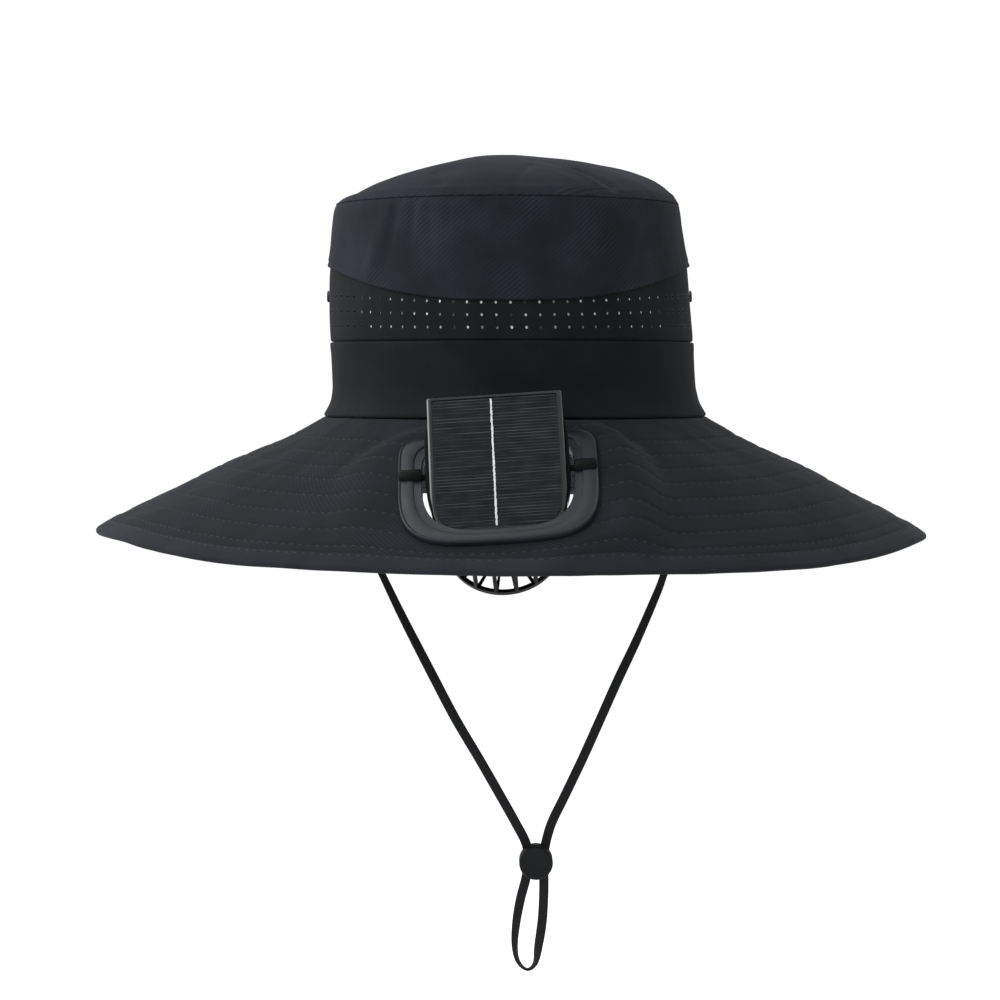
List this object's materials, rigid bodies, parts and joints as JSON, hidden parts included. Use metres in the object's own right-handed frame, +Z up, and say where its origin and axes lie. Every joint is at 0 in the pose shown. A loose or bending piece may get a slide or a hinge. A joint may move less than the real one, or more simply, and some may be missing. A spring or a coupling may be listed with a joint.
{
  "type": "solar fan sun hat",
  "caption": "Wide-brim dark cloth sun hat with perforated crown band, a tilting solar-powered fan set in the front of the brim, and a flat chin strap with a round stopper.",
  "frame": {"origin": "centre of the head opening, level with the seam between crown and brim, where a head holds the hat", "axes": "+Z up through the crown, -Y toward the front with the fan, +X toward the right of the picture"},
  "size_m": [0.3896, 0.4099, 0.3855],
  "materials": {
    "crown_cloth": "matte woven polyester, near-black with a cool cast",
    "vent_cloth": "matte woven polyester, darker, punched with small vent holes in front",
    "brim_cloth": "matte stiffened woven polyester with rows of stitching",
    "grey_plastic": "satin dark grey moulded plastic",
    "black_plastic": "satin black moulded plastic",
    "stopper_plastic": "matte black plastic",
    "black_metal": "black painted eyelet",
    "motor_steel": "plain steel motor can and shaft",
    "panel_resin": "glossy dark moulded panel body with a bevelled edge",
    "cell_silicon": "dark solar cell with fine fingers and one silver busbar",
    "strap_webbing": "flat woven black ribbon"
  },
  "bodies": {
    "hat": {"crown_top": "crown_cloth", "crown_side": "crown_cloth", "vent_band": "vent_cloth", "crown_base": "vent_cloth", "side_eyelet_left": "black_metal", "side_eyelet_right": "black_metal", "brim": "brim_cloth", "brim_hem": "brim_cloth", "fan_ring": "grey_plastic", "ring_clamp": "grey_plastic", "chin_strap": "strap_webbing", "strap_stopper": "stopper_plastic"},
    "fan_unit": {"fan_housing": "black_plastic", "fan_grille": "black_plastic", "fan_motor": "motor_steel", "solar_panel": "panel_resin", "solar_cell": "cell_silicon"},
    "rotor": {"fan_rotor": "black_plastic"},
    "button": {"stopper_button": "stopper_plastic"}
  },
  "joints": [
    {"name": "fan_tilt", "type": "hinge", "parent": "hat", "child": "fan_unit", "pos_m": [-0.00607, -0.14128, -0.02278], "axis": [0.9976, -0.0204, 0.0654], "range_deg": [-13, 3]},
    {"name": "rotor_spin", "type": "hinge", "parent": "fan_unit", "child": "rotor", "pos_m": [-0.00452, -0.1284, -0.04236], "axis": [-0.0546, -0.8135, 0.579], "continuous": true},
    {"name": "stopper_press", "type": "slide", "parent": "hat", "child": "button", "axis": [0, 1, 0], "range_m": [0, 0.002], "stiffness_N_per_m": 250}
  ]
}
